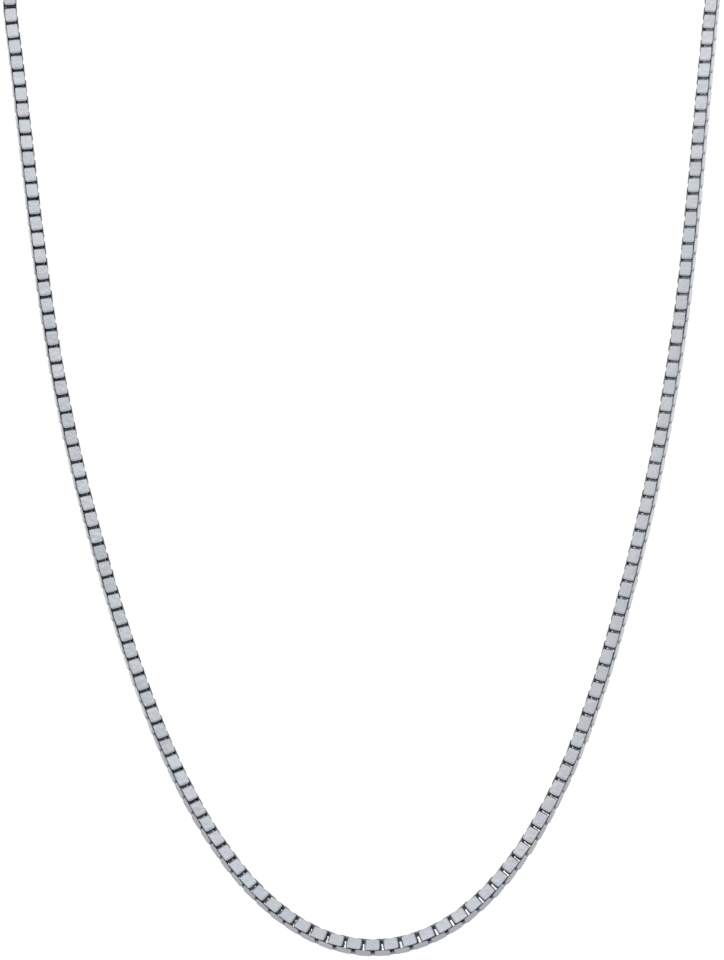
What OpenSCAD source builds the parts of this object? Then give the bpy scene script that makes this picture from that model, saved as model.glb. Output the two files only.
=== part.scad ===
// A box-link neck chain hanging in a deep U, closed at the nape by a lobster-claw clasp.
// Millimetres. +Z is up and the front faces -Y. The origin is on the inner side of the clasp's middle,
// where the chain rests on the nape.

/* [Chain] */
// Width of the chain across its flat faces
chain_w = 2.6; // [2.5:0.05:2.7]
// Length of one link along the chain
link_l = 2.98; // [2.94:0.01:3.02]
// Thickness of a link's wall
wall_t = 0.42; // [0.36:0.01:0.42]
// Width of the two flat plates on a link's outside
plate_w = 2.2; // [2:0.02:2.24]
// Width of the two bars that cross inside the next link
bar_w = 1.3; // [1.1:0.05:1.4]
// Outside radius of a link's bent corners
bend_r = 0.45; // [0.3:0.05:0.6]
// Spacing of the links where the chain is straight
link_pitch = 1.62; // [1.61:0.005:1.63]
// Spacing added for each radian that the chain bends
bend_play = 1.5; // [0:0.25:2]
// Number of separate links in the front stretch
front_links = 240; // [40:2:240]

/* [Hang] */
// Radius of the front curve at its lowest point
sag_r = 23.9; // [23.4:0.1:24.4]
// Distance of the middle link from the lowest point, along the chain
middle_s = -0.9; // [-1.5:0.1:1.5]
// Turn of the right strand about its own line, plates towards the middle
right_roll = 10; // [0:1:24]
// Turn of the left strand about its own line, plates towards the middle
left_roll = 15; // [0:1:24]
// Turn of the lowest stretch about its own line, plates upwards
middle_roll = 16; // [0:1:24]

/* [Clasp] */
// Half the distance between the centres of the two rings
ring_u = 5.65; // [5.6:0.05:6]
// Outside diameter of a ring
ring_d = 5; // [5:0.1:5.4]
// Thickness of a ring's wire
ring_wire = 0.8; // [0.7:0.05:0.8]
// Thickness of the clasp's claw
claw_t = 2.2; // [1.8:0.1:2.2]
// Outside radius of the claw
claw_r = 2.5; // [2.4:0.1:2.7]
// Radius of the claw's opening at its wide end
mouth_r = 1.4; // [1.3:0.05:1.45]
// Thickness of the clasp's eye
eye_t = 1.3; // [1:0.1:1.4]
// Outside radius of the eye
eye_r = 1.5; // [1.4:0.05:1.6]
// Radius of the hole in the eye
eye_hole_r = 0.8; // [0.75:0.05:0.85]

/* [Hidden] */
// Least gap between two pieces that pass through each other
clear = 0.1;
// Gap between the end of a back stretch and the link next to it
butt_gap = 0.15;
// Depth of the plates' bevel that is left above the inner face of the wall
bevel_lift = 0.03;
// Reach of a cutting shape past the surface that it cuts
over = 0.3;

// The right half of the chain's line runs from the bottom of the front curve to the nape. The front
// curve is a catenary up to sag_end. Then come three smooth pieces by way of the points shoulder and
// crest, each met in the direction of its own lead-in point, and last the straight stretch that the
// clasp lies along.
sag_end = 80;
front_y = -46;
bottom_z = -212;
strand_pull = 51;
shoulder_from = [60.8, -46, -80];
shoulder = [66.7, -41, -32];
shoulder_pull = 11;
crest_from = [66.5, -35, -17];
crest = [63, -28, -11];
crest_pull = 24;
nape_from = [36, 1.25, 0];
nape_straight = [9.5, 1.25, 0];
nape = [0, 1.25, 0];

// Samples along the front curve and along each of the three pieces
sag_steps = 80;
curve_steps = 80;

// Rings of a back stretch, one about every two and a half chain widths
tube_rings = 18;

// Distances from the lowest point at which the turns hold, and the turn where the curve becomes a strand
strand_roll_s = 190;
left_roll_s = -75;
curve_roll_s = 45;
left_curve_roll = 19;
right_curve_roll = 6;

hole_l = link_l - 2 * wall_t;
hole_w = chain_w - 2 * wall_t;
ring_r = (ring_d - ring_wire) / 2;

function asinh(v) = ln(v + sqrt(v * v + 1));
function unit(v) = v / norm(v);
function flip_x(v) = [-v.x, v.y, v.z];

function sag_point(s) = [
    sag_r * asinh(s / sag_r),
    front_y,
    bottom_z + sqrt(sag_r * sag_r + s * s) - sag_r
];

function bezier(c, u) = let (v = 1 - u)
    v * v * v * c[0] + 3 * v * v * u * c[1] + 3 * v * u * u * c[2] + u * u * u * c[3];

sag_tip = sag_point(sag_end);
sag_tip_heading = unit([sag_r, 0, sag_end]);
strand_curve = [sag_tip, sag_tip + strand_pull * sag_tip_heading, shoulder_from, shoulder];
shoulder_lead = shoulder_pull * unit(shoulder - shoulder_from);
shoulder_curve = [shoulder, shoulder + shoulder_lead, crest_from, crest];
crest_lead = crest_pull * unit(crest - crest_from);
nape_curve = [crest, crest + crest_lead, nape_from, nape_straight];

// Points of the right half, then at each of them the distance travelled, the heading, the side that
// the front plates face before any roll, and the bend so far in radians
line = concat(
    [for (k = [0 : sag_steps - 1]) sag_point(sag_end * k / sag_steps)],
    [for (k = [0 : curve_steps - 1]) bezier(strand_curve, k / curve_steps)],
    [for (k = [0 : curve_steps - 1]) bezier(shoulder_curve, k / curve_steps)],
    [for (k = [0 : curve_steps]) bezier(nape_curve, k / curve_steps)],
    [nape]
);
last = len(line) - 1;
function point_before(k) = k == 0 ? flip_x(line[1]) : line[k - 1];
function point_after(k) = k == last ? flip_x(line[last - 1]) : line[k + 1];
travel = [for (k = 0, s = 0; k <= last; s = s + norm(point_after(k) - line[k]), k = k + 1) s];
heading = [for (k = [0 : last]) unit(point_after(k) - point_before(k))];
function square_to(v, t) = unit(v - (v * t) * t);
face = [for (k = 0, f = [0, -1, 0]; k <= last; f = square_to(f, heading[min(k + 1, last)]), k = k + 1) f];
bend = [for (k = 0, b = 0; k <= last; b = b + norm(heading[min(k + 1, last)] - heading[k]), k = k + 1) b];
half_l = travel[last];

// Looks up a value at the distance s from the lowest point. The left half mirrors the right half.
function columns(values) = [for (axis = [0 : 2]) [for (k = [0 : last]) [travel[k], values[k][axis]]]];
line_columns = columns(line);
heading_columns = columns(heading);
face_columns = columns(face);
function along(table, s) = [for (axis = [0 : 2]) lookup(abs(s), table[axis])];
function point_at(s) = let (p = along(line_columns, s)) s < 0 ? flip_x(p) : p;
function heading_at(s) = let (t = unit(along(heading_columns, s))) s < 0 ? -flip_x(t) : t;
function face_at(s) = let (f = unit(along(face_columns, s))) s < 0 ? flip_x(f) : f;

// Roll that brings the plates level at the nape, and the roll at any distance s
nape_roll = atan2(face[last].y, face[last].z);
roll_table = [
    [-half_l, nape_roll],
    [-strand_roll_s, left_roll],
    [left_roll_s, left_roll],
    [-curve_roll_s, left_curve_roll],
    [0, middle_roll],
    [curve_roll_s, right_curve_roll],
    [strand_roll_s, right_roll],
    [half_l, nape_roll]
];
function roll_at(s) = lookup(s, roll_table);

// The chain's section at distance s: its outer side and its back, square to the heading
function outward_at(s) = let (f = face_at(s), b = cross(heading_at(s), f), r = roll_at(s))
    b * cos(r) + f * sin(r);
function backward_at(s) = let (f = face_at(s), b = cross(heading_at(s), f), r = roll_at(s))
    b * sin(r) - f * cos(r);

// Distance of link k from the lowest point, with the play that each bend takes up
play_table = [for (k = [0 : last]) [travel[k] - bend_play * bend[k], travel[k]]];
function link_s(k) = let (pulled = middle_s + k * link_pitch) sign(pulled) * lookup(abs(pulled), play_table);

// How far from a ring's centre a wall of width w reaches when its edges are just clear of the wire
function reach(w) = sqrt(pow(ring_r - ring_wire / 2 - clear, 2) - pow(w / 2, 2));
mouth_u = ring_u - reach(claw_t) - mouth_r;
eye_u = ring_u - reach(eye_t) - eye_hole_r;
end_link_u = ring_u + reach(bar_w) + hole_l / 2;
back_end_s = half_l - end_link_u - link_l / 2 - butt_gap;

// One corner of a link's side outline, bent in two flats
function bent_corner(sx, sy, from) = [for (a = [0, 45, 90])
    [sx * (chain_w / 2 - bend_r), sy * (link_l / 2 - bend_r)] + bend_r * [cos(from + a), sin(from + a)]];

module link_side() {
    difference() {
        polygon(concat(bent_corner(1, 1, 0), bent_corner(-1, 1, 90), bent_corner(-1, -1, 180),
            bent_corner(1, -1, 270)));
        square([hole_w, hole_l], center = true);
    }
}

// A link seen along the chain: two plates with bevelled edges, and the narrower bars between them
module link_plan() {
    bar = bar_w / 2;
    waist = hole_w / 2 + bevel_lift;
    slope = (plate_w - bar_w) / 2 / (chain_w / 2 - waist);
    rim = chain_w / 2 + over;
    plate = plate_w / 2 + over * slope;
    polygon([[plate, rim], [bar, waist], [bar, -waist], [plate, -rim],
        [-plate, -rim], [-bar, -waist], [-bar, waist], [-plate, rim]]);
}

// A link with the chain along Z, its plates at front and back (-Y and +Y), and its hole along X
module box_link() {
    intersection() {
        rotate([90, 0, 90])
            linear_extrude(height = chain_w, center = true)
                link_side();
        linear_extrude(height = link_l + 2 * over, center = true)
            link_plan();
    }
}

// Places a piece that is drawn along Z on the chain's line, its front towards the plates' side
module on_line(s) {
    p = point_at(s);
    x = outward_at(s);
    y = backward_at(s);
    z = heading_at(s);
    multmatrix([[x.x, y.x, z.x, p.x], [x.y, y.y, z.y, p.y], [x.z, y.z, z.z, p.z], [0, 0, 0, 1]])
        children();
}

module chain_front() {
    color("silver")
        for (k = [-front_links / 2 : front_links / 2 - 1])
            on_line(link_s(k))
                rotate([0, 0, 90 * (k % 2)])
                    box_link();
}

// A hidden stretch of chain as a bar with the chain's outer section
module chain_bar(from_s, to_s) {
    a = chain_w / 2;
    b = plate_w / 2;
    section = [[a, b], [b, a], [-b, a], [-a, b], [-a, -b], [-b, -a], [b, -a], [a, -b]];
    sides = len(section);
    points = [for (ring = [0 : tube_rings - 1])
        let (s = from_s + (to_s - from_s) * ring / (tube_rings - 1))
        let (p = point_at(s), x = outward_at(s), y = backward_at(s))
        for (c = section) p + c.x * x + c.y * y];
    walls = [for (ring = [0 : tube_rings - 2], c = [0 : sides - 1])
        let (low = ring * sides, high = low + sides, next = (c + 1) % sides)
        for (corner = [0, 1])
            corner == 0 ? [low + c, high + c, high + next] : [low + c, high + next, low + next]];
    top = (tube_rings - 1) * sides;
    polyhedron(points, concat(walls, [[for (c = [0 : sides - 1]) c]],
        [[for (c = [0 : sides - 1]) top + sides - 1 - c]]));
}

module chain_back_left() {
    color("silver")
        chain_bar(-back_end_s, link_s(-front_links / 2) - link_l / 2 - butt_gap);
}

module chain_back_right() {
    color("silver")
        chain_bar(link_s(front_links / 2 - 1) + link_l / 2 + butt_gap, back_end_s);
}

// Places a piece that is drawn along Z on the straight stretch at the nape, its plates up and down
module at_nape(u) {
    translate(nape + [u, 0, 0])
        rotate([90, 0, 90])
            children();
}

module end_link_left() {
    color("silver")
        at_nape(-end_link_u)
            box_link();
}

module end_link_right() {
    color("silver")
        at_nape(end_link_u)
            box_link();
}

// A level ring of round wire
module jump_ring(u) {
    translate(nape + [u, 0, 0])
        rotate_extrude($fn = 96)
            translate([ring_r, 0])
                circle(r = ring_wire / 2, $fn = 32);
}

module clasp_ring() {
    color("silver")
        jump_ring(-ring_u);
}

module end_ring() {
    color("silver")
        jump_ring(ring_u);
}

// Outline round two circles on one line, the larger one at big_u
module teardrop(big_u, big_r, small_u, small_r) {
    lean = asin((big_r - small_r) / (big_u - small_u));
    tangent = [-sin(lean), cos(lean)];
    translate([big_u, 0])
        circle(r = big_r, $fn = 96);
    translate([small_u, 0])
        circle(r = small_r, $fn = 96);
    polygon([
        [big_u + big_r * tangent.x, big_r * tangent.y],
        [small_u + small_r * tangent.x, small_r * tangent.y],
        [small_u + small_r * tangent.x, -small_r * tangent.y],
        [big_u + big_r * tangent.x, -big_r * tangent.y]
    ]);
}

// The clasp lies flat against the nape, its eye to the left and its claw, shut, to the right
module clasp() {
    neck_u = mouth_u - 4;
    neck_r = 1.4;
    mouth_small_u = mouth_u - 2.9;
    mouth_small_r = 0.75;
    stem_w = 1.8;
    thumb_u = mouth_u - 2.6;
    thumb_v = 1.9;
    thumb_r = 0.8;
    color("silver")
        translate(nape)
            rotate([90, 0, 0]) {
                linear_extrude(height = claw_t, center = true)
                    difference() {
                        union() {
                            teardrop(mouth_u, claw_r, neck_u, neck_r);
                            translate([thumb_u, thumb_v])
                                circle(r = thumb_r, $fn = 48);
                        }
                        teardrop(mouth_u, mouth_r, mouth_small_u, mouth_small_r);
                    }
                linear_extrude(height = eye_t, center = true)
                    difference() {
                        union() {
                            translate([-eye_u, 0])
                                circle(r = eye_r, $fn = 96);
                            translate([-eye_u, -stem_w / 2])
                                square([neck_u + eye_u, stem_w]);
                        }
                        translate([-eye_u, 0])
                            circle(r = eye_hole_r, $fn = 64);
                    }
            }
}

chain_front();
chain_back_left();
chain_back_right();
end_link_left();
end_link_right();
clasp_ring();
clasp();
end_ring();
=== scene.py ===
"""Looks of a box-link neck chain with a lobster-claw clasp.

Lengths are in millimetres, and MM turns them into metres. Where one is in metres, a comment says so.
"""

import math

import bpy
import numpy as np
from mathutils import Matrix, Vector
from mathutils.bvhtree import BVHTree


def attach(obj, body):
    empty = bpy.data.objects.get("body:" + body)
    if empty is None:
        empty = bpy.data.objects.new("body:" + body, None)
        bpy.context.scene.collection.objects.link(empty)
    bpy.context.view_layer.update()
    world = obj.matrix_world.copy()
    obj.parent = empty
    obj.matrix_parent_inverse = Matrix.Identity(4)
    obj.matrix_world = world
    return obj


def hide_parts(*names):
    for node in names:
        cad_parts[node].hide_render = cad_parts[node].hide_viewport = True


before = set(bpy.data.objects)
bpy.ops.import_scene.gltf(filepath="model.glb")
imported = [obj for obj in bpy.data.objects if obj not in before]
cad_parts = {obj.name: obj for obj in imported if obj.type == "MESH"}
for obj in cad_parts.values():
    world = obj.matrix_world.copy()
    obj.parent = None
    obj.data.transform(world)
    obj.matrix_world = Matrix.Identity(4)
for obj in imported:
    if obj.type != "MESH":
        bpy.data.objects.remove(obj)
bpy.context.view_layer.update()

MM = 0.001

# Chain, as in the part's source
CHAIN_W = 2.6
LINK_L = 2.98
WALL_T = 0.42
PLATE_W = 2.2
BAR_W = 1.3
BEND_R = 0.45
LINK_PITCH = 1.62
BEND_PLAY = 1.5
FRONT_LINKS = 240
SAG_R = 23.9
MIDDLE_S = -0.9
RIGHT_ROLL = 10.0
LEFT_ROLL = 15.0
MIDDLE_ROLL = 16.0
BEVEL_LIFT = 0.03

# Clasp and rings, as in the part's source
CLEAR = 0.1
RING_U = 5.65
RING_D = 5.0
RING_WIRE = 0.8
CLAW_T = 2.2
CLAW_R = 2.5
MOUTH_R = 1.4
EYE_T = 1.3
EYE_R = 1.5
EYE_HOLE_R = 0.8
NECK_R = 1.4
NECK_BACK = 4.0
MOUTH_SMALL_R = 0.75
MOUTH_SMALL_BACK = 2.9
STEM_W = 1.8
THUMB_BACK = 2.6
THUMB_V = 1.9
THUMB_R = 0.8

# Route of the right half, as in the part's source
SAG_END = 80.0
FRONT_Y = -46.0
BOTTOM_Z = -212.0
STRAND_PULL = 51.0
SHOULDER_FROM = (60.8, -46.0, -80.0)
SHOULDER = (66.7, -41.0, -32.0)
SHOULDER_PULL = 11.0
CREST_FROM = (66.5, -35.0, -17.0)
CREST = (63.0, -28.0, -11.0)
CREST_PULL = 24.0
NAPE_FROM = (36.0, 1.25, 0.0)
NAPE_STRAIGHT = (9.5, 1.25, 0.0)
NAPE = (0.0, 1.25, 0.0)
SAG_STEPS = 80
CURVE_STEPS = 80
STRAND_ROLL_S = 190.0
LEFT_ROLL_S = -75.0
CURVE_ROLL_S = 45.0
LEFT_CURVE_ROLL = 19.0
RIGHT_CURVE_ROLL = 6.0

# Link numbers: the first and last at the front, and the even one nearest the nape on each side
FIRST_FRONT = -FRONT_LINKS // 2
LAST_FRONT = FRONT_LINKS // 2 - 1
END_LINK = 180

# Turns the right half into the left half
MIRROR = np.array([-1, 1, 1])


def unit(v):
    return v / np.linalg.norm(v, axis=-1, keepdims=True)


def looked_up(table, s):
    """Values at the distances s, from a table of distances and values."""
    return np.interp(s, *zip(*table))


def bezier(controls, steps):
    """Points at the first steps of a cubic curve that takes CURVE_STEPS of them."""
    start, start_pull, end_pull, end = controls
    u = (np.arange(steps) / CURVE_STEPS)[:, None]
    v = 1 - u
    return v**3 * start + 3 * v * v * u * start_pull + 3 * v * u * u * end_pull + u**3 * end


def half_route():
    """Points of the right half, and at each the travel, heading, facing side and bend so far."""
    s = np.arange(SAG_STEPS + 1) * SAG_END / SAG_STEPS
    sag = np.stack(
        [
            SAG_R * np.arcsinh(s / SAG_R),
            np.full_like(s, FRONT_Y),
            BOTTOM_Z + np.hypot(SAG_R, s) - SAG_R,
        ],
        axis=1,
    )
    tip = sag[-1]
    tip_heading = unit(np.array([SAG_R, 0, SAG_END]))
    shoulder_from, shoulder, crest_from, crest, nape_from, nape_straight, nape = (
        np.array(p) for p in (SHOULDER_FROM, SHOULDER, CREST_FROM, CREST, NAPE_FROM, NAPE_STRAIGHT, NAPE)
    )
    strand = [tip, tip + STRAND_PULL * tip_heading, shoulder_from, shoulder]
    over = [shoulder, shoulder + SHOULDER_PULL * unit(shoulder - shoulder_from), crest_from, crest]
    back = [crest, crest + CREST_PULL * unit(crest - crest_from), nape_from, nape_straight]
    line = np.vstack(
        [
            sag[:-1],
            bezier(strand, CURVE_STEPS),
            bezier(over, CURVE_STEPS),
            bezier(back, CURVE_STEPS + 1),
            nape,
        ]
    )
    before = np.vstack([line[1] * MIRROR, line[:-1]])
    after = np.vstack([line[1:], line[-2] * MIRROR])
    heading = unit(after - before)
    travel = np.concatenate([[0], np.cumsum(np.linalg.norm(np.diff(line, axis=0), axis=1))])
    bend = np.concatenate([[0], np.cumsum(np.linalg.norm(np.diff(heading, axis=0), axis=1))])
    face = [np.array([0.0, -1.0, 0.0])]
    for h in heading[1:]:
        face.append(unit(face[-1] - (face[-1] @ h) * h))
    return line, travel, heading, np.array(face), bend


LINE, TRAVEL, HEADING, FACE, BEND = half_route()
HALF_L = TRAVEL[-1]

# Travel less the play that the bends take up
PULLED = TRAVEL - BEND_PLAY * BEND

# Roll of the chain in degrees, by distance: its plates lie level at the nape
NAPE_ROLL = math.degrees(math.atan2(FACE[-1][1], FACE[-1][2]))
ROLLS = (
    (-HALF_L, NAPE_ROLL),
    (-STRAND_ROLL_S, LEFT_ROLL),
    (LEFT_ROLL_S, LEFT_ROLL),
    (-CURVE_ROLL_S, LEFT_CURVE_ROLL),
    (0.0, MIDDLE_ROLL),
    (CURVE_ROLL_S, RIGHT_CURVE_ROLL),
    (STRAND_ROLL_S, RIGHT_ROLL),
    (HALF_L, NAPE_ROLL),
)


def along(table, s):
    """Rows of a table of the right half, at distances s that may be on either side."""
    return np.stack([np.interp(np.abs(s), TRAVEL, table[:, axis]) for axis in range(3)], axis=-1)


def sections(s):
    """Place, outward side, back and heading of the chain at the distances s."""
    on_left = (s < 0)[:, None]
    place = along(LINE, s)
    heading = unit(along(HEADING, s))
    face = unit(along(FACE, s))
    place = np.where(on_left, place * MIRROR, place)
    heading = np.where(on_left, heading * -MIRROR, heading)
    face = np.where(on_left, face * MIRROR, face)
    side = np.cross(heading, face)
    roll = np.radians(looked_up(ROLLS, s))[:, None]
    outward = side * np.cos(roll) + face * np.sin(roll)
    backward = side * np.sin(roll) - face * np.cos(roll)
    return place, outward, backward, heading


def at_pulled(pulled):
    """Distances along the chain of links given by their pulled distances."""
    return np.sign(pulled) * np.interp(np.abs(pulled), PULLED, TRAVEL)


def reach(width):
    """How far from a ring's centre a wall of this width reaches when its edges are just clear of the wire."""
    return math.sqrt(((RING_D - 2 * RING_WIRE) / 2 - CLEAR) ** 2 - (width / 2) ** 2)


END_LINK_U = RING_U + reach(BAR_W) + LINK_L / 2 - WALL_T


def link_places():
    """Link numbers and their distances, from the left end link to the right one."""
    front_k = np.arange(FIRST_FRONT, LAST_FRONT + 1)
    front = MIDDLE_S + front_k * LINK_PITCH
    end = np.interp(HALF_L - END_LINK_U, TRAVEL, PULLED)
    right_k = np.arange(LAST_FRONT + 1, END_LINK + 1)
    left_k = np.arange(-END_LINK, FIRST_FRONT)
    right = np.linspace(front[-1], end, len(right_k) + 1)[1:]
    left = np.linspace(-end, front[0], len(left_k) + 1)[:-1]
    return np.concatenate([left_k, front_k, right_k]), at_pulled(np.concatenate([left, front, right]))


KS, PLACES = link_places()
COUNT = len(KS)

# Rounding of a link that only the scene has, and the points of each corner and around the strip
INNER_R = 0.12
INNER_BEVEL_X = 0.04
INNER_BEVEL_OUT = 0.05
WORN_R = 0.15
WORN_SHARE = 0.29
CORNER_POINTS = 8
STRIP_POINTS = 10

# How deep in the chain a strip's side lies at its inner and outer edge, which sets its tarnish and painted
# shade, and the rim value of its worn edge, which sets painted shade there
SIDE_DEEP_INNER = 0.75
SIDE_DEEP_OUTER = 0.25
ROUND_EDGE_SHADE = 0.6

# Degrees round a corner from the plate, where the strip begins to lie deep and to take tarnish and painted
# shade
DEEP_FROM = 40


def tube_quads(rows, across):
    """Quads between the points of a closed tube, which come row by row."""
    row, place = np.divmod(np.arange(rows * across), across)
    start, next_start = row * across, (row + 1) % rows * across
    next_place = (place + 1) % across
    return np.stack([start + place, start + next_place, next_start + next_place, next_start + place], axis=1)


def half_width(y):
    """Half the strip's width, from the narrow bars up the bevel to the wide plates."""
    waist = CHAIN_W / 2 - WALL_T + BEVEL_LIFT
    slope = (PLATE_W - BAR_W) / 2 / (CHAIN_W / 2 - waist)
    return BAR_W / 2 + max(0.0, abs(y) - waist) * slope


def link_shape():
    """One link along Z, plates at front and back: its points, and two shade values for each.

    The shade values are how deep in the chain a point lies, which sets its tarnish and painted shade, and how
    close it is to a worn edge, which sets painted shade there.
    """
    outer = np.array([CHAIN_W, LINK_L]) / 2
    hole = outer - WALL_T
    turns = np.radians(np.linspace(0, 90, CORNER_POINTS))
    points, shade = [], []
    for quarter, signs in enumerate(((1, 1), (-1, 1), (-1, -1), (1, -1))):
        for t in turns if quarter % 2 == 0 else turns[::-1]:
            way = np.array([math.cos(t), math.sin(t)])
            out = (outer - BEND_R + BEND_R * way) * signs
            inn = (hole - INNER_R + INNER_R * way) * signs
            normal = way * signs
            wide, narrow = half_width(out[0]), half_width(inn[0])
            end_deep = np.clip((math.degrees(t) - DEEP_FROM) / (90 - DEEP_FROM), 0, 1)
            inner_deep = SIDE_DEEP_INNER + (1 - SIDE_DEEP_INNER) * end_deep
            # Depth values paint tarnish and shade into the colour; rim values paint shade at the worn edge
            half_strip = (
                (narrow - INNER_BEVEL_X, inn, 1.0, 0.0),
                (narrow, inn + INNER_BEVEL_OUT * normal, inner_deep, 0.0),
                (wide, out - WORN_R * normal, max(SIDE_DEEP_OUTER, end_deep), 1.0),
                (wide - WORN_SHARE * WORN_R, out - WORN_SHARE * WORN_R * normal, end_deep, ROUND_EDGE_SHADE),
                (wide - WORN_R, out, end_deep, 0.0),
            )
            for x, q, deep, rim in half_strip:
                points.append((x, q[0], q[1]))
                shade.append((deep, rim))
            for x, q, deep, rim in reversed(half_strip):
                points.append((-x, q[0], q[1]))
                shade.append((deep, rim))
    return np.array(points), np.array(shade)


SHAPE, SHADE = link_shape()
QUADS = tube_quads(len(SHAPE) // STRIP_POINTS, STRIP_POINTS)

RNG = np.random.default_rng(7)

# Small tilts of each link about its X, Y and Z, in degrees, and shifts, in its neighbours' holes
TILT_SPREADS = (1.3, 1.2, 0.9)
MOST_TILT = 4
SHIFT_SPREAD = 0.012

# How far the links lean about their X in the mean, in degrees, by distance
LEAN = (
    (-HALF_L, 1.0),
    (-12.0, 1.0),
    (-2.0, 2.5),
    (7.0, 2.5),
    (17.0, -2.5),
    (55.0, -2.5),
    (85.0, 1.0),
    (HALF_L, 1.0),
)
MEAN_TILTS = looked_up(LEAN, PLACES)[:, None] * (1, 0, 0)
TILTS = np.radians(RNG.normal(MEAN_TILTS, TILT_SPREADS, (COUNT, 3)).clip(-MOST_TILT, MOST_TILT))
SHIFTS = RNG.normal(0, SHIFT_SPREAD, (COUNT, 3))

# How light the links are in the mean, by distance
LIGHTNESS = (
    (-HALF_L, 0.5),
    (-190.0, 0.65),
    (-150.0, 0.5),
    (-114.0, 0.8),
    (-79.0, 0.5),
    (-27.0, 0.1),
    (0.0, 0.4),
    (19.0, 0.0),
    (40.0, 0.7),
    (72.0, 0.5),
    (107.0, 0.9),
    (147.0, 0.4),
    (183.0, 1.0),
    (HALF_L, 0.5),
)
TONE_SPREAD = 0.18
TINT_MEAN = 0.5
TINT_SPREAD = 0.28
TONES = RNG.normal(looked_up(LIGHTNESS, PLACES), TONE_SPREAD).clip(0, 1)
TINTS = RNG.normal(TINT_MEAN, TINT_SPREAD, COUNT).clip(0, 1)

# How dark the links' recesses are painted, by distance: painted shade, lighter along the right strand, where
# light falls into its gaps
RECESS_SHADE_BY_DISTANCE = (
    (-HALF_L, 0.8),
    (-190.0, 0.85),
    (-155.0, 1.0),
    (45.0, 1.0),
    (75.0, 0.8),
    (107.0, 0.74),
    (147.0, 0.52),
    (190.0, 0.4),
    (HALF_L, 0.8),
)
RECESS_SHADES = looked_up(RECESS_SHADE_BY_DISTANCE, PLACES)


def link_points():
    """Points of every link in place, in metres: links x points x 3."""
    place, outward, backward, heading = sections(PLACES)
    odd = (KS % 2 == 1)[:, None]
    x = np.where(odd, backward, outward)
    y = np.where(odd, -outward, backward)
    points = np.empty((COUNT, len(SHAPE), 3))
    for i in range(COUNT):
        turn = np.array(Matrix.Rotation(TILTS[i, 2], 3, "Z") @ Matrix.Rotation(TILTS[i, 1], 3, "Y"))
        turn = turn @ np.array(Matrix.Rotation(TILTS[i, 0], 3, "X"))
        local = SHAPE @ turn.T + SHIFTS[i]
        points[i] = place[i] + local[:, :1] * x[i] + local[:, 1:2] * y[i] + local[:, 2:] * heading[i]
    return points * MM


def touching(points):
    """Rows of the links that touch the next one."""
    trees = [BVHTree.FromPolygons(p.tolist(), QUADS.tolist()) for p in points]
    return np.array([i for i in range(COUNT - 1) if trees[i].overlap(trees[i + 1])], int)


# Links that touch are set straighter, round by round, until none do: what is left of their tilts and shifts
TILT_EASE = (0.9, 0.75, 0.7)
SHIFT_EASE = 0.75
EASE_ROUNDS = 14
LINK_POINTS = link_points()
for _ in range(EASE_ROUNDS):
    pairs = touching(LINK_POINTS)
    if not len(pairs):
        break
    eased = np.union1d(pairs, pairs + 1)
    TILTS[eased] *= TILT_EASE
    SHIFTS[eased] *= SHIFT_EASE
    LINK_POINTS = link_points()


def add_piece(name, mesh, slot, *nodes):
    """A piece of the necklace that stands for the nodes."""
    piece = bpy.data.objects.new(name, mesh)
    bpy.context.collection.objects.link(piece)
    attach(piece, "root")
    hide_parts(*nodes)
    return piece


# How strongly the large flat faces of a link set its normals
FLAT_WEIGHT = 90


def link_run(name, which, *nodes):
    """One piece made of the links that which picks.

    Its wear_and_shade attribute holds how deep a point lies, for tarnish and painted shade, the link's tone,
    how close a rim is, for painted shade, and the tint.
    """
    rows = np.flatnonzero(which)
    points = LINK_POINTS[rows].reshape(-1, 3)
    quads = (QUADS[None] + np.arange(len(rows))[:, None, None] * len(SHAPE)).reshape(-1, 4)
    mesh = bpy.data.meshes.new(name)
    mesh.from_pydata(points.tolist(), [], quads.tolist())
    mesh.shade_smooth()
    # Painted shade in the recesses is lighter along the right strand
    deep = SHADE[:, 0] * RECESS_SHADES[rows][:, None]
    values = np.broadcast_arrays(deep, TONES[rows][:, None], SHADE[:, 1], TINTS[rows][:, None])
    # Depth and rim values carry tarnish and painted shade into the colour
    wear_and_shade = mesh.color_attributes.new("wear_and_shade", "FLOAT_COLOR", "POINT")
    wear_and_shade.data.foreach_set("color", np.stack(values, axis=-1).ravel())
    piece = add_piece(name, mesh, "chain_silver", *nodes)
    even = piece.modifiers.new("flat_faces", "WEIGHTED_NORMAL")
    even.weight = FLAT_WEIGHT
    return piece


chain_pieces = [
    link_run("front_links", (KS >= FIRST_FRONT) & (KS <= LAST_FRONT), "chain_front"),
    link_run("back_links_left", (KS > -END_LINK) & (KS < FIRST_FRONT), "chain_back_left"),
    link_run("back_links_right", (KS > LAST_FRONT) & (KS < END_LINK), "chain_back_right"),
    link_run("last_link_left", KS == -END_LINK, "end_link_left"),
    link_run("last_link_right", KS == END_LINK, "end_link_right"),
]

# Clasp: flat in the upright plane at the nape, u along the chain and v up
MOUTH_U = RING_U - reach(CLAW_T) - MOUTH_R
EYE_U = RING_U - reach(EYE_T) - EYE_HOLE_R
NECK_U = MOUTH_U - NECK_BACK

# Ways round a teardrop where its wide end and its straight side are over
WIDE_WAY = 0.5
STRAIGHT_WAY = 0.85

# Ways round the claw to its tip and its gate's pivot, from there back to the pin, and the seam at both
TIP_WAY = 0.10
PIVOT_WAY = 0.90
PIN_BACK_WAY = 0.06
SEAM_WAY = 0.008

# How much thinner or thicker than the claw its parts are, and the rounding of their edges
GATE_THINNER = 0.12
THUMB_THINNER = 0.3
PIN_R = 0.32
PIN_THICKER = 0.08
CLAW_EDGE = 0.32
THUMB_EDGE = 0.3
PIN_EDGE = 0.1
EYE_EDGE = 0.25
EDGE_STEPS = 3
SHARP_ANGLE = math.radians(40)

# Points of the clasp's outlines
CLAW_POINTS = 56
CLAW_NECK_POINTS = 6
GATE_POINTS = 36
EYE_POINTS = 44
CIRCLE_POINTS = 40
PIN_POINTS = 24


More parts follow.
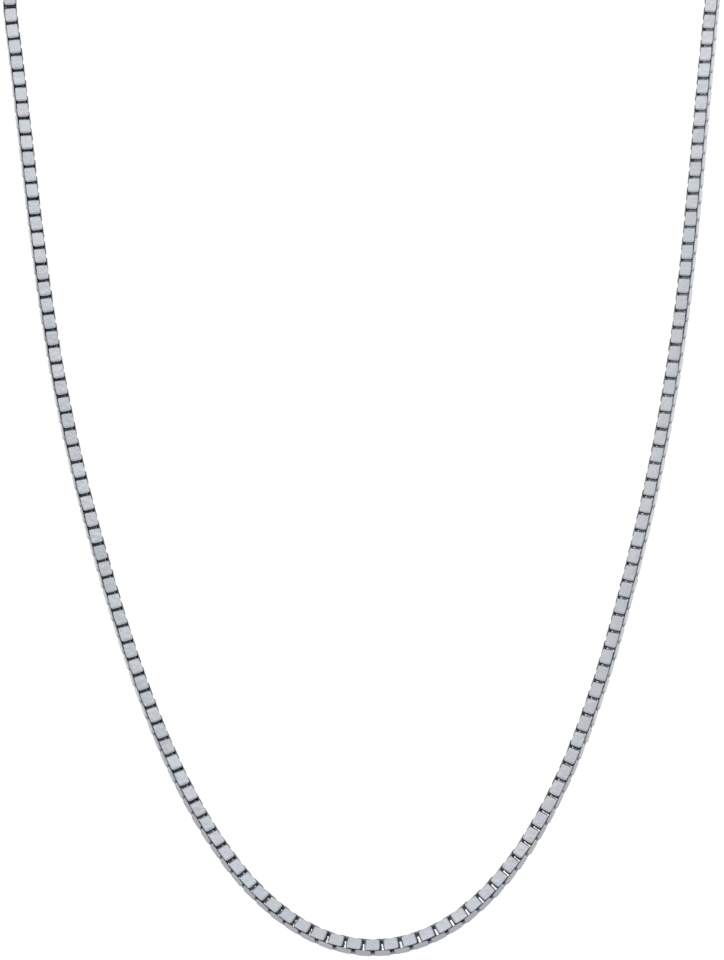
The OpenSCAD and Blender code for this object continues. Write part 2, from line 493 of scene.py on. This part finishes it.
def teardrop(big_u, big_r, small_u, small_r, way):
    """Point of a teardrop outline.

    The way is 0 at its wide end, and 1 over the top or -1 below it at its narrow end.
    """
    corner = math.pi / 2 + math.asin((big_r - small_r) / (big_u - small_u))
    t = abs(way)
    if t <= WIDE_WAY:
        a = corner * t / WIDE_WAY
        u, v = big_u + big_r * math.cos(a), big_r * math.sin(a)
    elif t <= STRAIGHT_WAY:
        f = (t - WIDE_WAY) / (STRAIGHT_WAY - WIDE_WAY)
        u = (big_u + big_r * math.cos(corner)) * (1 - f) + (small_u + small_r * math.cos(corner)) * f
        v = (big_r * (1 - f) + small_r * f) * math.sin(corner)
    else:
        a = corner + (math.pi - corner) * (t - STRAIGHT_WAY) / (1 - STRAIGHT_WAY)
        u, v = small_u + small_r * math.cos(a), small_r * math.sin(a)
    return u, math.copysign(v, way)


def claw_edge(way):
    return teardrop(MOUTH_U, CLAW_R, NECK_U, NECK_R, way)


def mouth_edge(way):
    return teardrop(MOUTH_U, MOUTH_R, MOUTH_U - MOUTH_SMALL_BACK, MOUTH_SMALL_R, way)


def claw_band(ways):
    """Outline of the claw between its outer edge and its mouth."""
    return [claw_edge(w) for w in ways] + [mouth_edge(w) for w in reversed(ways)]


def circle(u, v, r, count=CIRCLE_POINTS):
    turns = [math.tau * i / count for i in range(count)]
    return [(u + r * math.cos(a), v + r * math.sin(a)) for a in turns]


def flat_piece(name, loops, thick, edge):
    """A plate of the outline's form with rounded edges, standing in the clasp's plane."""
    curve = bpy.data.curves.new(name + "_outline", "CURVE")
    curve.dimensions = "2D"
    curve.fill_mode = "BOTH"
    curve.extrude = (thick / 2 - edge) * MM
    curve.bevel_depth = edge * MM
    curve.bevel_resolution = EDGE_STEPS
    curve.offset = -edge * MM
    for loop in loops:
        spline = curve.splines.new("POLY")
        spline.points.add(len(loop) - 1)
        spline.use_cyclic_u = True
        for point, (u, v) in zip(spline.points, loop):
            point.co = (u * MM, v * MM, 0, 1)
    holder = bpy.data.objects.new(name + "_outline", curve)
    bpy.context.collection.objects.link(holder)
    made = holder.evaluated_get(bpy.context.evaluated_depsgraph_get())
    mesh = bpy.data.meshes.new_from_object(made)
    bpy.data.objects.remove(holder)
    mesh.name = name
    mesh.transform(Matrix.Translation(Vector(NAPE) * MM) @ Matrix.Rotation(math.pi / 2, 4, "X"))
    mesh.shade_smooth()
    mesh.set_sharp_from_angle(angle=SHARP_ANGLE)
    piece = add_piece(name, mesh, "clasp_silver", "clasp")
    even = piece.modifiers.new("flat_faces", "WEIGHTED_NORMAL")
    even.keep_sharp = True
    return piece


def clasp_pieces():
    """The claw with its gate, thumb lever and pin, and its eye with the stem."""
    lower = list(np.linspace(TIP_WAY, -1, CLAW_POINTS))
    neck = list(np.linspace(1, PIVOT_WAY, CLAW_NECK_POINTS))[1:]
    upper = list(np.linspace(TIP_WAY + SEAM_WAY, PIVOT_WAY - SEAM_WAY, GATE_POINTS))
    thumb = circle(MOUTH_U - THUMB_BACK, THUMB_V, THUMB_R)
    pin_way = PIVOT_WAY - PIN_BACK_WAY
    pin_u, pin_v = ((a + b) / 2 for a, b in zip(claw_edge(pin_way), mouth_edge(pin_way)))
    pin = circle(pin_u, pin_v, PIN_R, PIN_POINTS)
    open_angle = math.asin(STEM_W / 2 / EYE_R)
    turns = np.linspace(open_angle, math.tau - open_angle, EYE_POINTS)
    eye = [(-EYE_U + EYE_R * math.cos(a), EYE_R * math.sin(a)) for a in turns]
    eye += [(NECK_U, -STEM_W / 2), (NECK_U, STEM_W / 2)]
    return [
        flat_piece("clasp_body", [claw_band(lower + neck)], CLAW_T, CLAW_EDGE),
        flat_piece("clasp_gate", [claw_band(upper)], CLAW_T - GATE_THINNER, CLAW_EDGE),
        flat_piece("clasp_thumb", [thumb], CLAW_T - THUMB_THINNER, THUMB_EDGE),
        flat_piece("clasp_pin", [pin], CLAW_T + PIN_THICKER, PIN_EDGE),
        flat_piece("clasp_eye", [eye, circle(-EYE_U, 0, EYE_HOLE_R)], EYE_T, EYE_EDGE),
    ]


# Seam of a ring: degrees from its middle, and how much thinner the wire's radius is there
SEAM = ((-2.0, 0.0), (-0.9, 0.01), (-0.35, 0.035), (0.0, 0.07), (0.35, 0.035), (0.9, 0.01), (2.0, 0.0))
RING_STEP = 5
WIRE_POINTS = 20


def ring_piece(name, u, seam_angle, *nodes):
    """A level ring of round wire with a soldered seam."""
    ring_r, wire_r = (RING_D - RING_WIRE) / 2, RING_WIRE / 2
    rows = SEAM + tuple((angle, 0.0) for angle in range(RING_STEP, 360, RING_STEP))
    points = []
    for angle, thinner in rows:
        a = math.radians(seam_angle + angle)
        wire = wire_r - thinner
        for b in np.linspace(0, math.tau, WIRE_POINTS, endpoint=False):
            r = ring_r + wire * math.cos(b)
            points.append((NAPE[0] + u + r * math.cos(a), NAPE[1] + r * math.sin(a), wire * math.sin(b)))
    quads = tube_quads(len(rows), WIRE_POINTS)
    facing_out = quads[:, [0, 3, 2, 1]]
    mesh = bpy.data.meshes.new(name)
    mesh.from_pydata((np.array(points) * MM).tolist(), [], facing_out.tolist())
    mesh.shade_smooth()
    return add_piece(name, mesh, "clasp_silver", *nodes)


fastening = [
    *clasp_pieces(),
    ring_piece("clasp_ring_wire", -RING_U, 200.0, "clasp_ring"),
    ring_piece("end_ring_wire", RING_U, 130.0, "end_ring"),
]

# Sockets of a node that mixes colours: factor and both colours, and its result
MIX_INPUTS = (0, 6, 7)
MIX_OUTPUT = 2


class Nodes:
    """Short way to add and link shader nodes."""

    def __init__(self, tree):
        self.tree = tree

    def add(self, kind, **values):
        node = self.tree.nodes.new(kind)
        for key, value in values.items():
            setattr(node, key, value)
        return node

    def link(self, source, target):
        self.tree.links.new(source, target)

    def feed(self, target, value):
        """Link a socket to the target, or give it a number or a colour."""
        if isinstance(value, bpy.types.NodeSocket):
            self.link(value, target)
        elif isinstance(value, tuple):
            target.default_value = (*value, 1.0)
        else:
            target.default_value = value

    def math(self, operation, *values):
        node = self.add("ShaderNodeMath", operation=operation)
        for target, value in zip(node.inputs, values):
            self.feed(target, value)
        return node.outputs[0]

    def mix(self, factor, a, b, blend_type="MIX"):
        node = self.add("ShaderNodeMix", data_type="RGBA", blend_type=blend_type)
        for index, value in zip(MIX_INPUTS, (factor, a, b)):
            self.feed(node.inputs[index], value)
        return node.outputs[MIX_OUTPUT]

    def ramp(self, value, stops):
        """Grey looked up over values between -1 and 1."""
        node = self.add("ShaderNodeValToRGB")
        elements = node.color_ramp.elements
        while len(elements) < len(stops):
            elements.new(0.5)
        for element, (position, grey) in zip(elements, stops):
            element.position = position / 2 + 0.5
            element.color = (grey, grey, grey, 1)
        self.link(self.math("MULTIPLY_ADD", value, 0.5, 0.5), node.inputs[0])
        return node.outputs[0]

    def noise(self, coordinates, scale, detail, roughness):
        node = self.add("ShaderNodeTexNoise")
        node.inputs["Scale"].default_value = scale
        node.inputs["Detail"].default_value = detail
        node.inputs["Roughness"].default_value = roughness
        self.link(coordinates, node.inputs["Vector"])
        return node.outputs["Fac"]

    def bump(self, height, strength, distance):
        node = self.add("ShaderNodeBump")
        node.inputs["Strength"].default_value = strength
        node.inputs["Distance"].default_value = distance * MM
        self.link(height, node.inputs["Height"])
        return node

    def background(self, colour, strength):
        node = self.add("ShaderNodeBackground")
        self.feed(node.inputs["Color"], colour)
        self.feed(node.inputs["Strength"], strength)
        return node.outputs[0]


# Silver's darkest and lightest tone, its two tints, and what its recesses and rims turn to: tarnish and
# painted shade in the recesses, painted shade at the rims
SILVER_LOW = (0.82, 0.85, 0.905)
SILVER_HIGH = (0.955, 0.96, 0.975)
LILAC = (1.0, 0.965, 1.0)
MINT = (0.97, 1.0, 0.985)
TARNISH_AND_SHADE = (0.22, 0.24, 0.26)

# Noises in the silver: scale per metre, detail and roughness
CLOUD = (900.0, 3.0, 0.5)
DENTS = (1300.0, 1.0, 0.4)
GRAIN = (5200.0, 2.0, 0.5)
FINE = (16000.0, 2.0, 0.6)

# Bumps in the silver: strength and height, and how much of the fine noise is in the grain's bump
DENT_BUMP = (0.6, 0.09)
GRAIN_BUMP = (0.25, 0.012)
FINE_SHARE = 0.5

# Lightness: what the cloud and the link's tone add to a base
CLOUD_LIGHT = 1.4
TONE_LIGHT = 0.9
BASE_LIGHT = -0.65

# Tarnish and painted shade: how much darkening there is in a recess and, as painted shade only, at a rim, and
# how late it sets in with depth
RECESS_TARNISH_AND_SHADE = 0.88
RECESS_POWER = 1.3
RIM_SHADE = 0.12

# Roughness: the chain's satin and the clasp's polish, and what grain and recesses add
SATIN = 0.14
POLISH = 0.10
GRAIN_ROUGH = 0.16
RECESS_ROUGH = 0.3


def silver(name, smoothest):
    """Silver with clouds, dents and grain, tarnished and painted with shade where it lies deep, and painted a
    little darker at its rims for shade.
    """
    material = bpy.data.materials.new(name)
    material.use_nodes = True
    tree = material.node_tree
    tree.nodes.clear()
    n = Nodes(tree)
    shader = n.add("ShaderNodeBsdfPrincipled")
    shader.inputs["Metallic"].default_value = 1.0
    place = n.add("ShaderNodeTexCoord").outputs["Object"]
    wear_and_shade = n.add("ShaderNodeAttribute", attribute_name="wear_and_shade")
    parts = n.add("ShaderNodeSeparateColor")
    n.link(wear_and_shade.outputs["Color"], parts.inputs[0])
    deep, tone, rim = parts.outputs
    cloud = n.noise(place, *CLOUD)
    grain = n.noise(place, *GRAIN)
    base = n.math("MULTIPLY_ADD", tone, TONE_LIGHT, BASE_LIGHT)
    light = n.math("MULTIPLY_ADD", cloud, CLOUD_LIGHT, base)
    tint = n.mix(wear_and_shade.outputs["Alpha"], LILAC, MINT)
    clean = n.mix(1.0, n.mix(light, SILVER_LOW, SILVER_HIGH), tint, "MULTIPLY")
    # Darkening: tarnish and painted shade in the recesses, painted shade at the rims
    recess = n.math("MULTIPLY", n.math("POWER", deep, RECESS_POWER), RECESS_TARNISH_AND_SHADE)
    tarnish_and_shade = n.math("MULTIPLY_ADD", rim, RIM_SHADE, recess)
    n.link(n.mix(tarnish_and_shade, clean, TARNISH_AND_SHADE), shader.inputs["Base Color"])
    rough = n.math("MULTIPLY_ADD", grain, GRAIN_ROUGH, smoothest)
    rough = n.math("MULTIPLY_ADD", deep, RECESS_ROUGH, rough)
    n.link(rough, shader.inputs["Roughness"])
    dents = n.bump(n.noise(place, *DENTS), *DENT_BUMP)
    bump = n.bump(n.math("MULTIPLY_ADD", n.noise(place, *FINE), FINE_SHARE, grain), *GRAIN_BUMP)
    n.link(dents.outputs[0], bump.inputs["Normal"])
    n.link(bump.outputs[0], shader.inputs["Normal"])
    out = n.add("ShaderNodeOutputMaterial")
    n.link(shader.outputs[0], out.inputs[0])
    return material


chain_silver = silver("chain_silver", SATIN)
clasp_silver = silver("clasp_silver", POLISH)
for piece in chain_pieces:
    piece.data.materials.append(chain_silver)
for piece in fastening:
    piece.data.materials.append(clasp_silver)

# Stage, in metres: a pale floor well below the hanging chain, and soft light
FLOOR_Z = -0.56
FLOOR_SIZE = 120.0
FLOOR_SEEN = (0.93, 0.93, 0.935)
FLOOR_REFLECTED = (0.44, 0.44, 0.45)
FLOOR_ROUGH = 0.8
DAYLIGHT_POWER = 1.8
DAYLIGHT_SPREAD = math.radians(60)
DAYLIGHT_TURN = (math.radians(-15), math.radians(8), 0)


def make_floor():
    """Pale paper, which is darker to everything but the camera."""
    half = FLOOR_SIZE / 2
    corners = [(x, y, FLOOR_Z) for x, y in ((-half, -half), (half, -half), (half, half), (-half, half))]
    mesh = bpy.data.meshes.new("floor")
    mesh.from_pydata(corners, [], [(0, 1, 2, 3)])
    floor = bpy.data.objects.new("floor", mesh)
    bpy.context.collection.objects.link(floor)
    material = bpy.data.materials.new("floor_paper")
    material.use_nodes = True
    shader = material.node_tree.nodes["Principled BSDF"]
    n = Nodes(material.node_tree)
    seen = n.add("ShaderNodeLightPath").outputs["Is Camera Ray"]
    n.link(n.mix(seen, FLOOR_REFLECTED, FLOOR_SEEN), shader.inputs["Base Color"])
    shader.inputs["Roughness"].default_value = FLOOR_ROUGH
    mesh.materials.append(material)


def soft_daylight():
    """Wide soft light from above, which the metal doesn't reflect."""
    light = bpy.data.lights.new("daylight", "SUN")
    light.energy = DAYLIGHT_POWER
    light.angle = DAYLIGHT_SPREAD
    lamp = bpy.data.objects.new("daylight", light)
    bpy.context.collection.objects.link(lamp)
    lamp.rotation_euler = DAYLIGHT_TURN
    lamp.visible_glossy = False


# Greys of the studio's walls, by height and by depth in a direction of length 1
HEIGHT_GREYS = (
    (-1.0, 0.45),
    (0.1, 0.5),
    (0.24, 0.56),
    (0.31, 0.53),
    (0.36, 0.56),
    (0.39, 0.63),
    (0.43, 0.74),
    (0.48, 0.86),
    (0.52, 0.84),
    (0.57, 0.62),
    (0.7, 0.66),
    (1.0, 0.35),
)
DEPTH_GREYS = ((-0.6, 1.0), (-0.25, 0.45), (0.15, 0.3), (0.6, 0.8), (0.9, 1.0))

# Soft boxes in the walls: the way to each, cosines of its edge and of its core, and how much grey it adds
SOFT_BOXES = (
    ((-0.4, 0.89, 0.2), 0.78, 0.94, 0.22),
    ((0.66, 0.72, 0.2), 0.78, 0.94, 0.25),
    ((-0.5, -0.85, 0.1), 0.94, 0.985, 0.14),
    ((0.0, 0.0, 1.0), 0.78, 0.94, 0.4),
)
WALL_TINT = (0.97, 1.0, 1.028)
PAPER_WHITE = (1.0, 1.0, 1.0)
PAPER_LIGHT = 1.05


def studio_world():
    """Grey studio walls for the metal to reflect, white where the camera looks past the chain."""
    world = bpy.data.worlds.new("studio")
    world.use_nodes = True
    tree = world.node_tree
    tree.nodes.clear()
    n = Nodes(tree)
    way = n.add("ShaderNodeTexCoord").outputs["Generated"]
    parts = n.add("ShaderNodeSeparateXYZ")
    n.link(way, parts.inputs[0])
    by_height = n.ramp(parts.outputs["Z"], HEIGHT_GREYS)
    by_depth = n.ramp(parts.outputs["Y"], DEPTH_GREYS)
    light = n.math("MULTIPLY", by_height, by_depth)
    for aim, edge, core, grey in SOFT_BOXES:
        facing = n.add("ShaderNodeVectorMath", operation="DOT_PRODUCT")
        n.link(way, facing.inputs[0])
        facing.inputs[1].default_value = Vector(aim).normalized()
        light = n.math("ADD", light, n.ramp(facing.outputs["Value"], ((edge, 0.0), (core, grey))))
    seen = n.add("ShaderNodeLightPath").outputs["Is Camera Ray"]
    mix = n.add("ShaderNodeMixShader")
    n.link(seen, mix.inputs[0])
    n.link(n.background(WALL_TINT, light), mix.inputs[1])
    n.link(n.background(PAPER_WHITE, PAPER_LIGHT), mix.inputs[2])
    out = n.add("ShaderNodeOutputWorld")
    n.link(mix.outputs[0], out.inputs[0])
    bpy.context.scene.world = world


make_floor()
studio_world()
soft_daylight()

# Camera, from the photograph: below the chain, a long way off, looking up and left, and slightly turned
PHOTO_H = 960
MM_PER_PIXEL = 0.1857
CAMERA_AWAY = 1400.0
LOOK_UP = math.radians(12.0)
LOOK_LEFT = math.radians(6.0)
CAMERA_TURN = 0.0212
AIM = Vector((-1.19, FRONT_Y, -124.33))
SENSOR = 36.0
CLIP_START = 50.0
CLIP_END = 60000.0


def make_camera():
    """The photo's camera, its sensor's width along the photo's height."""
    data = bpy.data.cameras.new("photo_camera")
    data.sensor_width = SENSOR
    data.lens = CAMERA_AWAY / (PHOTO_H * MM_PER_PIXEL) * SENSOR
    data.clip_start = CLIP_START * MM
    data.clip_end = CLIP_END * MM
    camera = bpy.data.objects.new("photo_camera", data)
    bpy.context.collection.objects.link(camera)
    level = Vector((math.cos(LOOK_LEFT), math.sin(LOOK_LEFT), 0))
    ahead = Vector((-math.sin(LOOK_LEFT), math.cos(LOOK_LEFT), 0)) * math.cos(LOOK_UP)
    ahead += Vector((0, 0, math.sin(LOOK_UP)))
    up = level.cross(ahead)
    c, s = math.cos(CAMERA_TURN), math.sin(CAMERA_TURN)
    turn = Matrix((c * level - s * up, s * level + c * up, -ahead)).transposed()
    camera.matrix_world = Matrix.Translation((AIM - CAMERA_AWAY * ahead) * MM) @ turn.to_4x4()
    bpy.context.scene.camera = camera


make_camera()
bpy.context.scene.view_settings.view_transform = "Standard"
